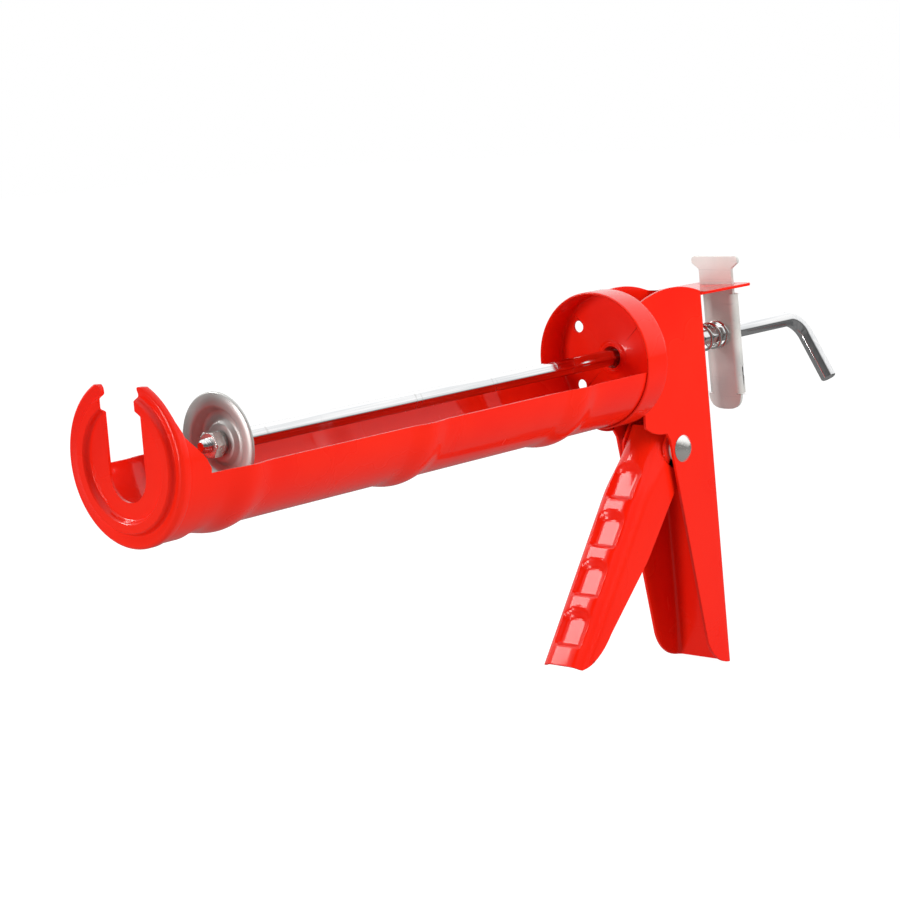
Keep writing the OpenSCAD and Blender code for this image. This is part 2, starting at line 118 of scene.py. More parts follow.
class Value:
    """A socket of a finish. Arithmetic on it adds Math nodes."""

    def __init__(self, finish, socket):
        self.finish = finish
        self.socket = socket

    def math(self, operation, first, second):
        return self.finish.node("ShaderNodeMath", {"operation": operation}, {0: first, 1: second})

    def __add__(self, other):
        return self.math("ADD", self, other)

    def __rsub__(self, other):
        return self.math("SUBTRACT", other, self)

    def __mul__(self, other):
        return self.math("MULTIPLY", self, other)


class Nodes:
    """The nodes of a finish or of the studio's surroundings."""

    def __init__(self, owner, shader):
        owner.use_nodes = True
        self.tree = owner.node_tree
        self.shader = self.tree.nodes[shader]

    def node(self, kind, settings=None, inputs=None, output=0):
        made = self.tree.nodes.new(kind)
        for name, value in (settings or {}).items():
            if name == "stops":
                for stop, (position, colour) in zip(self.ramp_stops(made, len(value)), value):
                    stop.position = position
                    stop.color = colour
            else:
                setattr(made, name, value)
        for socket, value in (inputs or {}).items():
            self.join(made.inputs[socket], value)
        return Value(self, made.outputs[output])

    def ramp_stops(self, made, count):
        stops = made.color_ramp.elements
        while len(stops) < count:
            stops.new(0.5)
        return stops

    def join(self, socket, value):
        if isinstance(value, Value):
            self.tree.links.new(value.socket, socket)
        else:
            socket.default_value = value

    def set(self, socket, value):
        self.join(self.shader.inputs[socket], value)

    def blend(self, factor, first, second):
        return self.node(
            "ShaderNodeMix",
            {"data_type": "RGBA"},
            {"Factor": factor, 6: first, 7: second},
            output=2,
        )


class Finish(Nodes):
    """A material. Sockets named in constants are the same all over the surface."""

    def __init__(self, name, constants):
        self.material = bpy.data.materials.new(name)
        super().__init__(self.material, "Principled BSDF")
        for socket, value in constants.items():
            self.shader.inputs[socket].default_value = value
        self.place = self.node("ShaderNodeTexCoord", output="Object")

    def noise(self, scale, detail, stretch=(1, 1, 1)):
        """Noise between 0 and 1, with features of about 1 / scale metres."""
        place = self.node("ShaderNodeMapping", inputs={"Vector": self.place, "Scale": stretch})
        return self.node(
            "ShaderNodeTexNoise",
            inputs={"Vector": place, "Scale": scale, "Detail": detail},
        )

    def clip(self, value, low, high):
        """0 below low, 1 above high, and smooth between them."""
        return self.node(
            "ShaderNodeMapRange",
            {"interpolation_type": "SMOOTHSTEP"},
            {"Value": value, "From Min": low, "From Max": high},
        )

    def bump(self, height, distance, strength, under=None):
        """Relief of a height in metres, on top of the relief under it."""
        inputs = {"Height": height, "Distance": distance, "Strength": strength}
        if under:
            inputs["Normal"] = under
        return self.node("ShaderNodeBump", inputs=inputs)


def white_surroundings():
    """A room bright above and on the far side, dark on the near side, and white behind the object."""
    bright_side = (-0.45, -0.20, 0.87)
    levels = ((0.0, 0.25), (0.35, 0.2), (0.52, 0.09), (0.64, 0.5), (0.75, 1.15), (1.0, 1.8))
    world = bpy.data.worlds.new("studio")
    room = Nodes(world, "Background")
    direction = room.node("ShaderNodeTexCoord", output="Generated")
    towards_bright = room.node(
        "ShaderNodeVectorMath",
        {"operation": "DOT_PRODUCT"},
        {0: direction, 1: bright_side},
        output="Value",
    )
    shade = room.node(
        "ShaderNodeValToRGB",
        {"stops": [(position, grey(level)) for position, level in levels]},
        {"Fac": towards_bright * 0.5 + 0.5},
    )
    shine = room.node("ShaderNodeLightPath", output="Is Glossy Ray")
    seen = room.node("ShaderNodeLightPath", output="Is Camera Ray")
    light = room.blend(shine, grey(0.32), shade)
    room.set("Color", room.blend(seen, light, grey(1)))
    bpy.context.scene.world = world
    bpy.context.scene.view_settings.view_transform = "Standard"


def red_enamel():
    """Sprayed and stoved gloss enamel: slight orange peel, thicker and thinner areas, dust and rubs."""
    paint = Finish(
        "red_enamel",
        {"Coat Roughness": 0.05, "Coat IOR": 1.45, "Specular IOR Level": 0.1},
    )
    film = paint.noise(22, 3)
    deep = paint.noise(7, 2)
    thin, thick, pooled, dust = (
        (0.88, 0.012, 0.003, 1),
        (0.93, 0.019, 0.004, 1),
        (0.82, 0.010, 0.003, 1),
        (0.50, 0.006, 0.003, 1),
    )
    colour = paint.blend(paint.clip(film, 0.3, 0.7), thin, thick)
    colour = paint.blend(paint.clip(deep, 0.35, 0.75) * 0.5, colour, pooled)
    rub = paint.clip(paint.noise(260, 4, (1, 0.25, 0.25)), 0.63, 0.72)
    rub = rub * paint.clip(paint.noise(30, 2), 0.52, 0.66)
    speck = paint.clip(paint.noise(1500, 1), 0.74, 0.80)
    colour = paint.blend(speck * 0.35, colour, dust)
    paint.set("Base Color", colour)
    paint.set("Roughness", paint.clip(film, 0.25, 0.8) * 0.10 + rub * 0.16 + 0.22)
    paint.set("Coat Weight", 0.4 - rub * 0.25)
    peel = paint.bump(paint.noise(420, 2), 0.00003, 0.35)
    paint.set("Normal", paint.bump(speck, 0.00004, 0.5, peel))
    return paint.material


def zinc_plating(name, dullness, brightness=0.88):
    """Zinc on pressed steel: cloudy, with faint blue and straw tints, fine scratches and soft dents."""

    def tinted(red, green, blue):
        return (brightness * red, brightness * green, brightness * blue, 1)

    zinc = Finish(name, {"Specular IOR Level": 0.5})
    cloud = zinc.noise(60, 5)
    tint = zinc.noise(35, 2)
    scratch = zinc.clip(zinc.noise(700, 3, (1, 0.06, 1)), 0.60, 0.72)
    colour = zinc.blend(zinc.clip(cloud, 0.3, 0.7), tinted(0.9, 0.9, 0.87), tinted(1, 1, 0.965))
    colour = zinc.blend(zinc.clip(tint, 0.45, 0.7) * 0.3, colour, tinted(1, 0.95, 0.85))
    colour = zinc.blend(scratch * 0.3, colour, (0.55, 0.56, 0.56, 1))
    zinc.set("Base Color", colour)
    zinc.set("Metallic", 1.0 - dullness * 0.6 - zinc.clip(cloud, 0.2, 0.9) * dullness * 0.4)
    zinc.set("Roughness", cloud * 0.16 + scratch * 0.08 + dullness * 0.4 + 0.10)
    dents = zinc.bump(zinc.noise(140, 2), 0.00025, 0.15)
    zinc.set("Normal", zinc.bump(scratch, 0.00001, 0.4, dents))
    return zinc.material


def ground_steel():
    """Blanked plate with ground faces: straight marks, darker oil stains towards some edges."""
    steel = Finish("ground_steel", {"Metallic": 1.0})
    marks = steel.noise(1600, 3, (1, 0.03, 1))
    stain = steel.clip(steel.noise(90, 4), 0.45, 0.7)
    colour = steel.blend(steel.clip(marks, 0.3, 0.7), (0.42, 0.43, 0.44, 1), (0.60, 0.61, 0.62, 1))
    colour = steel.blend(stain * 0.5, colour, (0.30, 0.27, 0.23, 1))
    steel.set("Base Color", colour)
    steel.set("Roughness", marks * 0.2 + stain * 0.15 + 0.22)
    steel.set("Normal", steel.bump(marks, 0.00001, 0.6))
    return steel.material


def drawn_chrome():
    """Plated bar: bright, with faint die lines along it and small dull marks where the plates bite."""
    leg_end, bar_start = -0.126, -0.119
    along_bar, along_leg = (0.02, 1, 1), (1, 1, 0.02)
    chrome = Finish("drawn_chrome", {"Metallic": 1.0})
    here = chrome.node("ShaderNodeSeparateXYZ", inputs={"Vector": chrome.place}, output="X")
    straight = chrome.clip(here, leg_end, bar_start)
    lines = chrome.noise(1400, 2, along_bar) * straight
    lines = lines + chrome.noise(1400, 2, along_leg) * (1.0 - straight)
    bite = chrome.clip(chrome.noise(500, 2, (1, 0.3, 0.3)), 0.62, 0.70)
    bite = bite * chrome.clip(chrome.noise(50, 2), 0.45, 0.6)
    colour = chrome.blend(chrome.clip(lines, 0.3, 0.7), (0.56, 0.57, 0.58, 1), grey(0.70))
    chrome.set("Base Color", chrome.blend(bite * 0.35, colour, (0.42, 0.41, 0.40, 1)))
    chrome.set("Roughness", lines * 0.08 + bite * 0.2 + 0.05)
    chrome.set("Normal", chrome.bump(lines, 0.000006, 0.15))
    return chrome.material


def spring_wire():
    """Nickel-plated wire, with draw marks and slightly dulled plating."""
    wire = Finish("spring_wire", {"Metallic": 1.0})
    dull = wire.noise(300, 3)
    marks = wire.noise(2500, 2, (1, 0.2, 0.2))
    colour = wire.blend(wire.clip(dull, 0.35, 0.7), (0.58, 0.57, 0.55, 1), (0.78, 0.77, 0.74, 1))
    wire.set("Base Color", colour)
    wire.set("Roughness", dull * 0.18 + marks * 0.06 + 0.08)
    wire.set("Normal", wire.bump(marks, 0.000006, 0.4))
    return wire.material


white_surroundings()
RED = red_enamel()
ZINC = zinc_plating("zinc_plating", 0.75)
BRIGHT_ZINC = zinc_plating("bright_zinc_plating", 0.15, 0.8)
# Zinc for the piston disc: a duller finish, and a base colour darkened to half as painted shade
DULL_SHADED_ZINC = zinc_plating("dull_shaded_zinc_plating", 0.55, 0.5)
STEEL = ground_steel()
CHROME = drawn_chrome()
WIRE = spring_wire()

# ---- Shaping tools ----


def arc(centre, radius, first, last, steps):
    """Points on an arc, from one angle to another, in degrees."""
    turns = [radians(first + (last - first) * i / steps) for i in range(steps + 1)]
    return [(centre[0] + radius * cos(a), centre[1] + radius * sin(a)) for a in turns]


def eased(corners, steps=5):
    """An outline whose corners, as (x, y, cut), are rounded from a distance of cut on each side."""
    points = []
    for i, (x, y, cut) in enumerate(corners):
        corner = Vector((x, y))
        if not cut:
            points.append((x, y))
            continue
        before = Vector(corners[i - 1][:2])
        after = Vector(corners[(i + 1) % len(corners)][:2])
        start = corner + (before - corner).normalized() * cut
        end = corner + (after - corner).normalized() * cut
        for step in range(steps + 1):
            t = step / steps
            points.append(tuple(start * (1 - t) ** 2 + corner * 2 * t * (1 - t) + end * t**2))
    return points


def smooth(t):
    """0 to 1, level at both ends."""
    t = min(1, max(0, t))
    return t * t * (3 - 2 * t)


def corners_of(geometry):
    return [item for item in geometry if isinstance(item, bmesh.types.BMVert)]


def faces_of(geometry):
    return [item for item in geometry if isinstance(item, bmesh.types.BMFace)]


def slab(outline, plane, start, end):
    """A flat outline in a plane, such as "XZ", given depth along the remaining axis."""
    axis = next(i for i, letter in enumerate("XYZ") if letter not in plane)
    shape = bmesh.new()
    verts = []
    for point in outline:
        place = [0, 0, 0]
        for letter, value in zip(plane, point):
            place["XYZ".index(letter)] = value
        place[axis] = start
        verts.append(shape.verts.new(place))
    face = shape.faces.new(verts)
    raised = bmesh.ops.extrude_face_region(shape, geom=[face])["geom"]
    shift = [0, 0, 0]
    shift[axis] = end - start
    bmesh.ops.translate(shape, verts=corners_of(raised), vec=shift)
    bmesh.ops.recalc_face_normals(shape, faces=shape.faces)
    return shape


def turned(outline, steps=96, closed=True):
    """An outline of (distance along X, radius), turned about X. An open outline starts and ends on X."""
    shape = bmesh.new()
    verts = [shape.verts.new((x, 0, r)) for x, r in outline]
    first = 0 if closed else 1
    edges = [shape.edges.new((verts[i - 1], verts[i])) for i in range(first, len(verts))]
    bmesh.ops.spin(
        shape,
        geom=verts + edges,
        cent=(0, 0, 0),
        axis=(1, 0, 0),
        angle=2 * pi,
        steps=steps,
        use_merge=True,
    )
    bmesh.ops.remove_doubles(shape, verts=shape.verts, dist=0.0005)
    bmesh.ops.recalc_face_normals(shape, faces=shape.faces)
    return shape


def pin(centre, radius, axis, length, segments=48):
    """A round or many-sided bar centred on a point."""
    shape = bmesh.new()
    turn = Matrix.Rotation(pi / 2, 4, {"X": "Y", "Y": "X"}[axis])
    bmesh.ops.create_cone(
        shape,
        cap_ends=True,
        segments=segments,
        radius1=radius,
        radius2=radius,
        depth=length,
        matrix=Matrix.Translation(centre) @ turn,
    )
    return shape


def swing(shape, angle, axis):
    """Turns a shape about an axis through the origin, by an angle in degrees."""
    turn = Matrix.Rotation(radians(angle), 3, axis)
    bmesh.ops.rotate(shape, verts=shape.verts, cent=(0, 0, 0), matrix=turn)


def cut(shape, tool, operation="DIFFERENCE"):
    """A closed shape with a tool taken from it, or what the two share, or what they make together."""
    solids = []
    for solid in (shape, tool):
        mesh = bpy.data.meshes.new("solid")
        solid.to_mesh(mesh)
        solid.free()
        solids.append(bpy.data.objects.new("solid", mesh))
        bpy.context.scene.collection.objects.link(solids[-1])
    modifier = solids[0].modifiers.new("cut", "BOOLEAN")
    modifier.operation = operation
    modifier.solver = "EXACT"
    modifier.object = solids[1]
    bpy.context.view_layer.update()
    result = bmesh.new()
    result.from_object(solids[0], bpy.context.evaluated_depsgraph_get())
    for solid in solids:
        bpy.data.meshes.remove(solid.data)
    return result


def piece(name, shape, material, body, slot, *nodes, edge=0.15, corner=32, flat=False):
    """
    Makes a shape a piece on a body. Edges that turn by more than corner degrees get a bevel of edge.
    A flat piece loses the lines that divide its flat faces.
    """
    bmesh.ops.remove_doubles(shape, verts=shape.verts, dist=0.004)
    if flat:
        bmesh.ops.dissolve_limit(
            shape, angle_limit=radians(0.4), verts=shape.verts, edges=shape.edges
        )
    bmesh.ops.recalc_face_normals(shape, faces=shape.faces)
    bmesh.ops.scale(shape, vec=(MM, MM, MM), verts=shape.verts)
    mesh = bpy.data.meshes.new(name)
    shape.to_mesh(mesh)
    shape.free()
    mesh.shade_smooth()
    mesh.set_sharp_from_angle(angle=radians(corner))
    mesh.materials.append(material)
    made = bpy.data.objects.new(name, mesh)
    bpy.context.scene.collection.objects.link(made)
    if edge:
        bevel = made.modifiers.new("broken_edges", "BEVEL")
        bevel.width = edge * MM
        bevel.segments = 2
        bevel.limit_method = "ANGLE"
        bevel.angle_limit = radians(corner)
        bevel.use_clamp_overlap = False
        bevel.harden_normals = True
    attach(made, body)
    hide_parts(*nodes)
    return made


# ---- Sizes shared by several pieces ----

BARREL_R = 25.3
BARREL_WALL = 0.8
BARREL_LENGTH = 240
SEAT_R = BARREL_R + 0.02
CAP_R = 26.2
CAP_WALL = 0.9
CUP_R = 26.3
CUP_WALL = 1.0
WEB_X = -43
GUIDE_R = 4.264
BUSH_R = 4.964
SHOULDER_X = 200.0
FRAME_HALF = 13.5
FRAME_TOP = 20.5
FRAME_LOW = -131
SHEET = 1.2
LEAN = tan(radians(2.8))
PIVOT = Vector((-23.9, 0, -38.9))
HINGE = Vector((-71.5, 0, 19.9))


def web_x(z):
    """Place of the handle's back at a height."""
    return WEB_X - (FRAME_TOP - z) * LEAN


def channel(depth, half, fold, wall, webs=1):
    """Section of a folded channel: its back lies at 0, its open side at depth, its outside at half."""
    centre = (fold, half - fold)
    outer = [(depth, half)] + arc(centre, fold, 90, 180, 8)
    inner = [(depth, half - wall)] + arc(centre, fold - wall, 90, 180, 8)
    across = [(half - fold) * (1 - 2 * i / webs) for i in range(1, webs)]
    outer = outer + [(0, y) for y in across] + [(x, -y) for x, y in reversed(outer)]
    inner = inner + [(wall, y) for y in across] + [(x, -y) for x, y in reversed(inner)]
    return outer + inner[::-1]


# ---- Barrel, cap and cup ----


def barrel_cradle():
    """Rolled half barrel with three rounded beads."""
    bead_centres, bead_half, bead_rise, rim = (50, 131.5, 213), 10, 1.5, -3.5
    stations = [3, 20, 38, 65, 90, 116, 150, 175, 200, 228, 237]
    for centre in bead_centres:
        stations += [centre - bead_half + i for i in range(2 * bead_half + 1)]
    outline = []
    for x in sorted(set(stations)):
        apart = [min(1, abs(x - centre) / bead_half) for centre in bead_centres]
        swell = sum(bead_rise * (1 + cos(pi * share)) / 2 for share in apart)
        outline.append((x, BARREL_R + swell))
    inside = [(x, r - BARREL_WALL) for x, r in reversed(outline)]
    shape = turned(outline + inside, 120)
    bmesh.ops.bisect_plane(
        shape,
        geom=shape.verts[:] + shape.edges[:] + shape.faces[:],
        plane_co=(0, 0, rim),
        plane_no=(0, 0, 1),
        clear_outer=True,
    )
    bmesh.ops.holes_fill(shape, edges=[e for e in shape.edges if e.is_boundary], sides=0)
    return piece(
        "barrel_cradle", shape, RED, "gun_body", "red_paint", "cradle", edge=0.22, corner=40
    )


def front_cap():
    """Pressed cap with a raised ring, a rolled rim, a slot for the nozzle and two horns."""
    face = BARREL_LENGTH + CAP_WALL
    back = face - 11
    ring_r, ring_half, ring_rise, ring_slope = 20, 2.6, 2.0, 1.3
    rim_r, inner_r, slot_half, slot_low = 1.4, 1.3, 8.5, -3.8

    def level(r):
        return ring_rise * smooth((ring_half - abs(r - ring_r)) / ring_slope)

    radii = [3, 8, 14] + [ring_r - ring_half + ring_half * i / 10 for i in range(21)] + [23.2]
    front = [(face + level(r), r) for r in radii]
    rim = [(x, r) for r, x in arc((CAP_R - 0.9, face - 0.4), rim_r, 90, 0, 8)]
    skirt = [(face - 2.0, CAP_R + 0.5), (face - 2.5, CAP_R + 0.3), (face - 2.7, CAP_R)]
    skirt += [(back, CAP_R), (back, SEAT_R), (face - 2.2, SEAT_R)]
    centre = (BARREL_R - inner_r, face - CAP_WALL - inner_r)
    inner = [(x, r) for r, x in arc(centre, inner_r, 0, 90, 5)]
    rear = [(face - CAP_WALL + level(r), r) for r in reversed(radii)]
    shape = turned(front + rim + skirt + inner + rear, 144)

    horns = [(11.5, 26), (10.2, 24.1), (9.3, 23.6), (8.75, 22.9), (slot_half, 22.0)]
    bottom = arc((0, slot_low), slot_half, 0, -180, 32)
    slot = horns + bottom + [(-y, z) for y, z in reversed(horns)]
    shape = cut(shape, slab(slot, "YZ", BARREL_LENGTH - 1, BARREL_LENGTH + 5))

    kept = [(250, -40), (250, 23.8), (240.0, 23.8), (239.9, 16.0), (239.7, 13.6), (239.0, 11.0)]
    kept += [(237.9, 8.6), (236.4, 6.8), (234.6, 5.0), (233.0, 3.2), (231.4, 1.2), (230.4, -0.8)]
    kept += [(229.0, -3), (225, -4), (225, -40)]
    shape = cut(shape, slab(kept, "XZ", -40, 40), "INTERSECT")
    return piece(
        "front_cap_pressing", shape, RED, "gun_body", "red_paint", "front_cap", edge=0, corner=38
    )


def rear_cup():
    """Drawn cup with a rounded corner, a lip round the rod's hole and four holes."""
    mouth, outer_r, inner_r = 12, 2.0, 1.0
    hole_y, hole_z, hole_r = 15.9, 11.5, 2.25
    corner = arc((outer_r - CUP_WALL, CUP_R - outer_r), outer_r, 180, 90, 8)
    outer = [(-CUP_WALL, BUSH_R), (-CUP_WALL, 14)] + corner
    rim = [(mouth - 0.4, CUP_R), (mouth, CUP_R - 0.35)]
    rim += [(mouth, BARREL_R + 0.3), (mouth - 0.3, SEAT_R)]
    inner = arc((inner_r, SEAT_R - inner_r), inner_r, 90, 180, 6)
    lip = [(0, 2.0), (0.25, 1.3), (0.65, 0.95), (0.8, 0.6), (0.8, 0)]
    lip = [(x, BUSH_R + out) for x, out in lip]
    shape = turned(outer + rim + inner + lip, 144)
    for side in (-1, 1):
        for up in (-1, 1):
            shape = cut(shape, pin((0, side * hole_y, up * hole_z), hole_r, "X", 6))
    return piece(
        "rear_cup_pressing", shape, RED, "gun_body", "red_paint", "rear_cup", edge=0.2, corner=38
    )


def rod_guide_bush():
    """Swaged tube that guides the rod."""
    lip_x, collar_x, end_x, collar_r = 0.8, -2.2, -3, BUSH_R + 1.2
    outline = eased(
        [(lip_x, BUSH_R, 0.25), (collar_x, BUSH_R, 0), (collar_x, collar_r, 0.2),
         (end_x, collar_r, 0.3), (end_x, GUIDE_R, 0.35), (lip_x, GUIDE_R, 0.3)],
        3,
    )
    shape = turned(outline, 64)
    return piece("rod_bush", shape, RED, "gun_body", "red_paint", "rod_guide_bush", edge=0)


# ---- Handle frame ----


def handle_frame():
    """Folded handle: two sides and a back, a wall behind the cup and a flat top at the rear."""
    fold, reach, start, drop = 3, 170, 40, 200
    section = [(web_x(start) + x, y) for x, y in channel(reach, FRAME_HALF, fold, SHEET)]
    body = slab(section, "XY", start, start - drop)
    lower = [v for v in body.verts if v.co.z < 0]
    bmesh.ops.translate(body, verts=lower, vec=(-drop * LEAN, 0, 0))

    arch_x, arch_half, arch_rise = -22, 21, 4
    arch_r = (arch_half**2 + arch_rise**2) / (2 * arch_rise)
    spread = degrees(asin(arch_half / arch_r))
    toe_r, lobe_r = 17, 21.3
    top = arc((arch_x, FRAME_TOP + arch_rise - arch_r), arch_r, 90 - spread, 90 + spread, 28)
    toe = arc((web_x(FRAME_LOW), FRAME_LOW + toe_r), toe_r, 270, 345, 14)
    lobe = arc((-13.5, -10.2), lobe_r, 268, 306, 12)
    side = [(-1, -25.3)] + top + [(-48, 19.0), (-60, FRAME_LOW)] + toe + [(-16.3, -34.4)] + lobe
    body = cut(body, slab(side, "XZ", -20, 20), "INTERSECT")

    wall_y, wall_z = 12.6, 20.2
    wall = [(-wall_y, -wall_z), (wall_y, -wall_z), (wall_y, wall_z), (-wall_y, wall_z)]
    wall = slab(wall, "YZ", -2.2, -1.02)
    wall = cut(wall, pin((-1.6, 0, 0), BUSH_R - 0.3, "X", 6))
    body = cut(body, wall, "UNION")

    front_x, rear_x, half, rounding = -42.2, -78, 13, 3
    plate = [(front_x, -half, 0), (rear_x, -half, rounding)]
    plate += [(rear_x, half, rounding), (front_x, half, 0)]
    flange = slab(eased(plate, 6), "XY", FRAME_TOP - SHEET, FRAME_TOP)
    slot_rear, slot_front, slot_half, slot_cut = -73.0, -69.95, 8.65, 0.4
    slot = [(slot_rear, -slot_half), (slot_front, -slot_half)]
    slot += [(slot_front, slot_half), (slot_rear, slot_half)]
    slot = eased([(x, y, slot_cut) for x, y in slot], 3)
    flange = cut(flange, slab(slot, "XY", FRAME_TOP - 2.5, FRAME_TOP + 1.5))
    body = cut(body, flange, "UNION")
    body = cut(body, pin((web_x(0), 0, 0), GUIDE_R, "X", 8))
    body = cut(body, pin(PIVOT, 2.4, "Y", 40))
    return piece(
        "handle_frame", body, RED, "gun_body", "red_paint", "frame", edge=0.22, corner=38, flat=True
    )


def pivot_rivet():
    """Rivet with a domed head on the +Y side and a peened tail."""
    head_r, head_rise, tail_r, tail_rise, shank_r = 5.3, 2.6, 4.3, 1.5, 2.5
    dome_r = (head_r**2 + head_rise**2) / (2 * head_rise)
    spread = degrees(asin(head_r / dome_r))
    outline = arc((FRAME_HALF + head_rise - dome_r, 0), dome_r, 0, spread * 0.96, 12)
    outline += [(FRAME_HALF + 0.16, head_r - 0.02), (FRAME_HALF, head_r - 0.15)]
    outline += [(FRAME_HALF, shank_r), (-FRAME_HALF, shank_r)]
    tail = [(0, tail_r - 0.2), (0.25, tail_r), (0.9, tail_r - 0.15), (1.3, tail_r - 0.9)]
    tail += [(tail_rise, 2.2), (1.15, 1.0), (1.05, 0)]
    outline += [(-FRAME_HALF - out, r) for out, r in tail]
    shape = turned(outline, 64, closed=False)
    swing(shape, 90, "Z")
    bmesh.ops.translate(shape, verts=shape.verts, vec=PIVOT)
    return piece(
        "pivot_rivet_domed", shape, BRIGHT_ZINC, "gun_body", "zinc_plate", "pivot_rivet", edge=0
    )


# ---- Trigger ----


def trigger_lever():
    """Folded lever with four pressed finger grips and two arms that push the drive plates."""
    half, fold, face, length, rest = 10.5, 6.5, 11.9, 101, 36
    start, rows, pitch = 12, 138, 0.8
    shape = bmesh.new()
    section = channel(60, half, fold, SHEET, webs=8)
    last = [shape.faces.new([shape.verts.new((face - x, y, start)) for x, y in section])]
    for _ in range(rows):
        made = bmesh.ops.extrude_face_region(shape, geom=last)["geom"]
        last = faces_of(made)
        bmesh.ops.translate(shape, verts=corners_of(made), vec=(0, 0, -pitch))
    bmesh.ops.recalc_face_normals(shape, faces=shape.faces)

    grips = (-20.5, -41.2, -61.9, -82.6)
    grip_depth, grip_half, grip_reach, sag = 2.0, 7.0, 8.6, 2.5
    for v in shape.verts:
        x, y, z = v.co
        if x > face - fold - 0.01:
            outside = x > face - SHEET / 2 or abs(y) > half - SHEET / 2
            skin = 0 if outside else SHEET
            rounded = smooth((z + 27) / 23)
            beyond = max(0, abs(y) - half + fold)
            folded = fold - sqrt(max(0, (fold - skin) ** 2 - beyond**2))
            full = half - sqrt(max(0, (half - skin) ** 2 - y**2))
            v.co.x -= rounded * (full - folded)
            dip = sag * (y / 6) ** 2
            along = max(
                smooth((g + grip_reach - dip - z) / 4.5) * smooth((z - g + grip_reach) / 2.6)
                for g in grips
            )
            v.co.x -= grip_depth * along * smooth((grip_half - abs(y)) / 2.6)

    low, toe_r, shoulder_r = -length, 30, 8
    side = [(face + 5, 1.5), (face + 5, low - 0.2)]
    side += arc((face + 19.1, low + 23), toe_r, 230, 184, 12)
    side += [(-5.8, low / 2 + 4), (-shoulder_r, -14), (-shoulder_r, 0)]
    side += arc((0, 0), shoulder_r, 170, 60, 8)
    shape = cut(shape, slab(side, "XZ", -20, 20), "INTERSECT")

    reach, tip_r, boss_r, neck_half, neck_length, tip_sweep = 27.03, 4.0, 8.0, 2.2, 7.5, 146
    turn = 90 + 20 - rest
    along = Vector((cos(radians(turn)), sin(radians(turn))))
    across = Vector((-along.y, along.x))
    tip, neck = along * reach, along * (reach - neck_length)
    outline = [tuple(boss_r * across), tuple(neck + neck_half * across)]
    outline += arc(tip, tip_r, turn + tip_sweep, turn - tip_sweep, 24)
    outline += [tuple(neck - neck_half * across), tuple(-boss_r * across)]
    outline += arc((0, 0), boss_r, turn - 90, turn - 270, 24)[1:-1]
    for way in (-1, 1):
        arm = slab(outline, "XZ", way * half, way * (half - SHEET))
        shape = cut(shape, arm, "UNION")
    shape = cut(shape, pin((0, 0, 0), 2.58, "Y", 30))
    swing(shape, -rest, "Y")
    bmesh.ops.translate(shape, verts=shape.verts, vec=PIVOT)
    return piece(
        "trigger_lever", shape, RED, "trigger", "red_paint", "trigger", edge=0.22, corner=38
    )


# ---- Release plate and springs ----


def release_lever():
    """Zinc plate with a T head, a rod hole and two folded side flanges."""
    wall, half, fold, flange_depth, lean = 1.6, 8.0, 2.6, 2.2, 3.2
    low, low_cut, high, flange_low, flange_top = -51.4, 6.8, 12.1, -44.9, -3.5
    head_half, taper_low, taper_high = 11.25, 6.8, 9.2
    right = [(half, low, low_cut), (half, taper_low, 0.6)]
    right += [(head_half, taper_high, 0.5), (head_half, high, 1.6)]
    left = [(-y, z, easing) for y, z, easing in right]
    outline = eased(left[:1] + right + left[:0:-1], 6)
    plate = slab(outline, "YZ", -wall / 2, wall / 2)
    gap = [(-20, flange_low), (20, flange_low), (20, flange_top), (-20, flange_top)]
    plate = cut(plate, slab(gap, "YZ", -5, 5))
    section = [(wall / 2 - x, y) for x, y in channel(wall + flange_depth, half, fold, wall)]
    folded = slab(section, "XY", flange_top, flange_low)
    notch_low, notch_top, notch_x, notch_cut = -37.6, -33.7, -1.9, 0.7
    notch = [(-20, notch_low), (notch_x - notch_cut, notch_low), (notch_x, notch_low + notch_cut)]
    notch += [(notch_x, notch_top - notch_cut), (notch_x - notch_cut, notch_top), (-20, notch_top)]
    folded = cut(folded, slab(notch, "XZ", -20, 20))
    shape = cut(plate, folded, "UNION")
    swing(shape, lean, "Y")
    bmesh.ops.translate(shape, verts=shape.verts, vec=HINGE)
    shape = cut(shape, pin((-71.6, 0, 0), GUIDE_R + 0.2, "X", 12))
    return piece(
        "release_lever", shape, ZINC, "release", "zinc_plate", "release_plate",
        edge=0.3, corner=38, flat=True,
    )


def coil_spring(name, start, length, outer, wire, turns, node):
    """A compression spring along X, with its end turns closed up."""
    per_turn, section_sides = 40, 12
    shape = bmesh.new()
    place = Matrix.Translation((start + wire / 2, 0, (outer - wire) / 2))
    place = place @ Matrix.Rotation(pi / 2, 4, "X")
    made = bmesh.ops.create_circle(
        shape, cap_ends=False, segments=section_sides, radius=wire / 2, matrix=place
    )
    geom = made["verts"] + shape.edges[:]
    bmesh.ops.contextual_create(shape, geom=shape.edges[:])
    end_run = wire * 0.9
    free_run = length - wire - 2 * end_run
    for share, run in ((1, end_run), (turns - 2, free_run), (1, end_run)):
        steps = round(share * per_turn)
        spun = bmesh.ops.spin(
            shape,
            geom=geom,
            cent=(0, 0, 0),
            axis=(1, 0, 0),
            dvec=(run / steps, 0, 0),
            angle=2 * pi * share,
            steps=steps,
        )
        geom = [g for g in spun["geom_last"] if not isinstance(g, bmesh.types.BMFace)]
    end = [g for g in geom if isinstance(g, bmesh.types.BMEdge)]
    bmesh.ops.contextual_create(shape, geom=end)
    return piece(name, shape, WIRE, "gun_body", "spring_wire", node, edge=0, corner=50)


# ---- Rod and piston ----


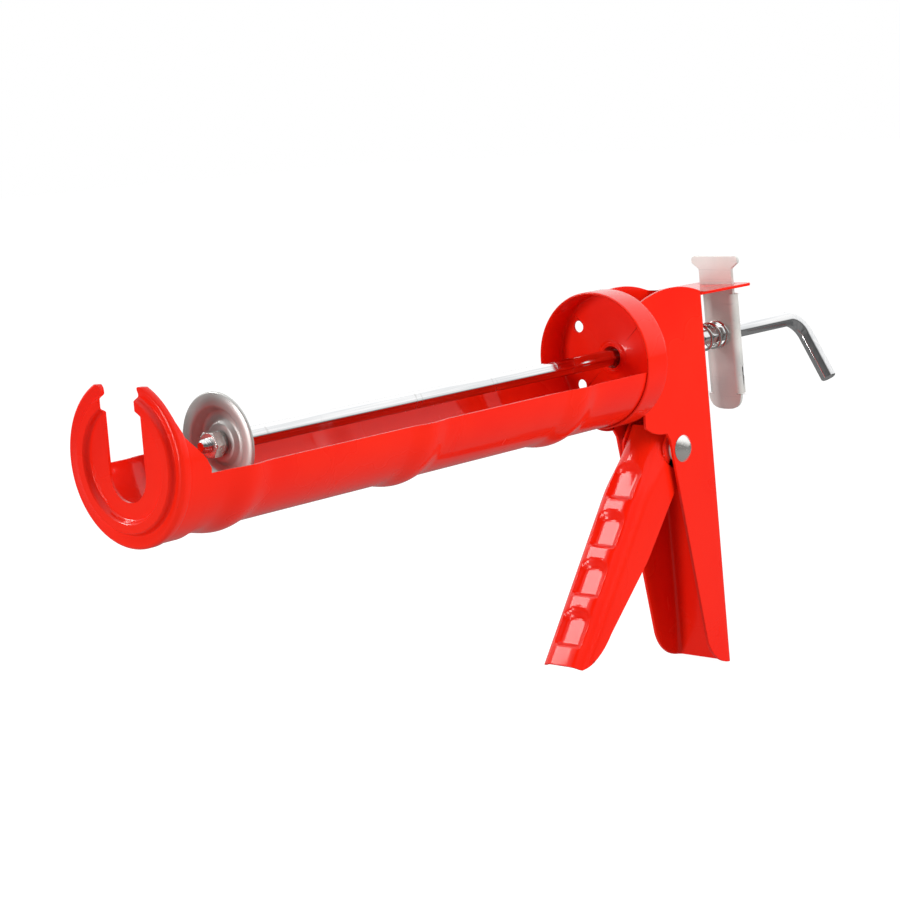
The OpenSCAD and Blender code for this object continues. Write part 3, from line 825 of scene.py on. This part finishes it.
def push_rod():
    """Hexagonal bar with eased corners, bent into a hook behind and turned down to a thread in front."""
    flats, easing, bend_r, hook_x, hook_low, hook_turn = 6, 0.8, 9, -129, -30, 30
    nose, nose_scale, tail, tail_scale = 0.7, 0.86, 0.6, 0.84
    corner_r = flats / cos(radians(30)) / 2
    turns = [radians(a) for a in range(30, 390, 60)]
    section = eased([(corner_r * cos(a), corner_r * sin(a), easing) for a in turns], 5)
    shape = bmesh.new()
    first = [shape.verts.new((SHOULDER_X, y * nose_scale, z * nose_scale)) for y, z in section]
    made = bmesh.ops.extrude_face_region(shape, geom=[shape.faces.new(first)])["geom"]
    bmesh.ops.translate(shape, verts=corners_of(made), vec=(-nose, 0, 0))
    bmesh.ops.scale(shape, verts=corners_of(made), vec=(1, 1 / nose_scale, 1 / nose_scale))
    last = faces_of(made)
    for target in (130, 60, 0, -60, hook_x + bend_r):
        made = bmesh.ops.extrude_face_region(shape, geom=last)["geom"]
        verts = corners_of(made)
        bmesh.ops.translate(shape, verts=verts, vec=(target - verts[0].co.x, 0, 0))
        last = faces_of(made)
    bend = bmesh.ops.spin(
        shape,
        geom=last,
        cent=(hook_x + bend_r, 0, -bend_r),
        axis=(0, 1, 0),
        angle=-pi / 2,
        steps=14,
    )
    last = faces_of(bend["geom_last"])
    leg_axis = Matrix.Translation((-hook_x, 0, 0))
    for drop, scale in ((-hook_low - bend_r - tail, 1.0), (tail, tail_scale)):
        made = bmesh.ops.extrude_face_region(shape, geom=last)["geom"]
        bmesh.ops.translate(shape, verts=corners_of(made), vec=(0, 0, -drop))
        bmesh.ops.scale(shape, verts=corners_of(made), vec=(scale, scale, 1), space=leg_axis)
        last = faces_of(made)
    bmesh.ops.remove_doubles(shape, verts=shape.verts, dist=0.001)
    swing(shape, hook_turn, "X")

    crest_r, root_r, pitch, tip = 2.3, 1.95, 0.8, 211.0
    thread = [(SHOULDER_X - 0.5, 0), (SHOULDER_X - 0.5, root_r), (SHOULDER_X + 0.5, root_r)]
    x = SHOULDER_X + 0.6
    while x < tip - 1.2:
        thread += [(x, root_r), (x + pitch * 0.4, crest_r), (x + pitch * 0.55, crest_r)]
        x += pitch
    thread += [(tip - 0.6, 2.0), (tip, 1.5), (tip, 0)]
    spigot = turned(thread, 40, closed=False)
    mesh = bpy.data.meshes.new("thread")
    spigot.to_mesh(mesh)
    spigot.free()
    shape.from_mesh(mesh)
    bpy.data.meshes.remove(mesh)
    return piece(
        "push_rod_hexagonal", shape, CHROME, "push_rod", "chrome_rod", "rod", edge=0, corner=50
    )


def piston_disc():
    """Pressed disc with a flat rim, a dished ring and a raised middle."""
    rim_r, wall, x = 16.5, 1.2, SHOULDER_X + 3
    back = [(-1.5, 2.3), (-1.5, 5.9), (-1.7, 6.5), (-2.7, 7.2), (-3, 7.9), (-3, 9.9), (-2.7, 10.6)]
    back += [(-0.4, 11.6), (0, 12.3), (0, 16.1)]
    back = [(x + rise, r) for rise, r in back]
    front = [(place + wall, r) for place, r in reversed(back)]
    edge = [(x + 0.35, rim_r), (x + wall - 0.35, rim_r)]
    shape = turned(back + edge + front, 128)
    return piece(
        "piston_disc", shape, DULL_SHADED_ZINC, "push_rod", "zinc_plate", "piston_plate", edge=0, corner=60
    )


def piston_nut():
    """Hexagonal nut with turned chamfers on both faces."""
    start, thickness, flats, chamfer = SHOULDER_X + 4, 4, 8.0, 0.5
    end = start + thickness
    corner_r = flats / cos(radians(30)) / 2
    prism = pin(((start + end) / 2, 0, 0), corner_r, "X", thickness, 6)
    turn = [(start, 2.0), (start, flats / 2 - 0.1), (start + chamfer, corner_r + 0.1)]
    turn += [(end - chamfer, corner_r + 0.1), (end, flats / 2 - 0.1), (end, 2.0)]
    shape = cut(prism, turned(turn, 64), "INTERSECT")
    return piece(
        "piston_nut_chamfered", shape, BRIGHT_ZINC, "push_rod", "zinc_plate", "piston_nut",
        edge=0.1, corner=25,
    )


def lock_washer():
    """Split ring between the nut and the disc."""
    x, inner_r, outer_r, thick = SHOULDER_X + 2.7, 2.35, 3.95, 1.1
    sweep, steps, rise = 348, 44, 0.2
    section = ((x, inner_r), (x + thick, inner_r), (x + thick, outer_r), (x, outer_r))
    shape = bmesh.new()
    face = shape.faces.new([shape.verts.new((place, 0, r)) for place, r in section])
    bmesh.ops.spin(
        shape,
        geom=[face],
        cent=(0, 0, 0),
        axis=(1, 0, 0),
        dvec=(rise / steps, 0, 0),
        angle=radians(sweep),
        steps=steps,
    )
    return piece(
        "split_washer", shape, STEEL, "push_rod", "bare_steel", "piston_lock_washer", edge=0.08
    )


def backing_washer():
    """Flat washer between the rod's shoulder and the disc."""
    back, front, inner_r, outer_r = SHOULDER_X, SHOULDER_X + 1.5, 2.3, 6
    outline = [(back, inner_r, 0), (front, inner_r, 0)]
    outline += [(front, outer_r, 0.25), (back, outer_r, 0.35)]
    shape = turned(eased(outline, 3), 64)
    return piece(
        "backing_washer", shape, ZINC, "push_rod", "zinc_plate", "piston_backing_washer", edge=0
    )


barrel_cradle()
front_cap()
rear_cup()
rod_guide_bush()
handle_frame()
pivot_rivet()
trigger_lever()
release_lever()
drive_coil = coil_spring(
    "drive_spring_coil",
    start=-23.03,
    length=20.83,
    outer=15,
    wire=1.4,
    turns=4.5,
    node="drive_spring",
)
spring_low, spring_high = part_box("release_spring")
release_coil = coil_spring(
    "release_spring_coil",
    start=spring_low.x / MM,
    length=(spring_high.x - spring_low.x) / MM,
    outer=11.5,
    wire=1.3,
    turns=6,
    node="release_spring",
)
push_rod()
piston_disc()
piston_nut()
lock_washer()
backing_washer()

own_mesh(drive_coil)
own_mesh(release_coil)

for node, material in (
    ("pivot_spacer", STEEL),
    ("pivot_washers", ZINC),
    ("drive_plate_front", STEEL),
    ("drive_plate_rear", STEEL),
    ("drive_spring_washer", ZINC),
):
    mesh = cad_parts[node].data
    mesh.materials.clear()
    mesh.materials.append(material)

# ---- Floor ----


def pale_floor(height, half):
    """A plain floor that stays pale to the eye and lights the object softly from below."""
    shape = bmesh.new()
    bmesh.ops.create_grid(shape, x_segments=1, y_segments=1, size=half)
    bmesh.ops.translate(shape, verts=shape.verts, vec=(0, 0, height))
    mesh = bpy.data.meshes.new("floor")
    shape.to_mesh(mesh)
    shape.free()
    made = bpy.data.objects.new("floor", mesh)
    bpy.context.scene.collection.objects.link(made)
    plain = Finish(
        "pale_floor", {"Roughness": 0.6, "Specular IOR Level": 0.0, "Emission Strength": 1.0}
    )
    seen = plain.node("ShaderNodeLightPath", output="Is Camera Ray")
    shine = plain.node("ShaderNodeLightPath", output="Is Glossy Ray")
    plain.set("Base Color", plain.blend(seen, grey(0.10), grey(0.22)))
    away = plain.node(
        "ShaderNodeVectorMath", {"operation": "LENGTH"}, {0: plain.place}, output="Value"
    )
    mirrored = plain.blend(plain.clip(away, 0.25, 0.7), grey(0.18), grey(0.08))
    glow = plain.blend(shine, grey(0.50), mirrored)
    plain.set("Emission Color", plain.blend(seen, glow, grey(0.97)))
    mesh.materials.append(plain.material)
    return made


pale_floor(height=-0.1312, half=6)
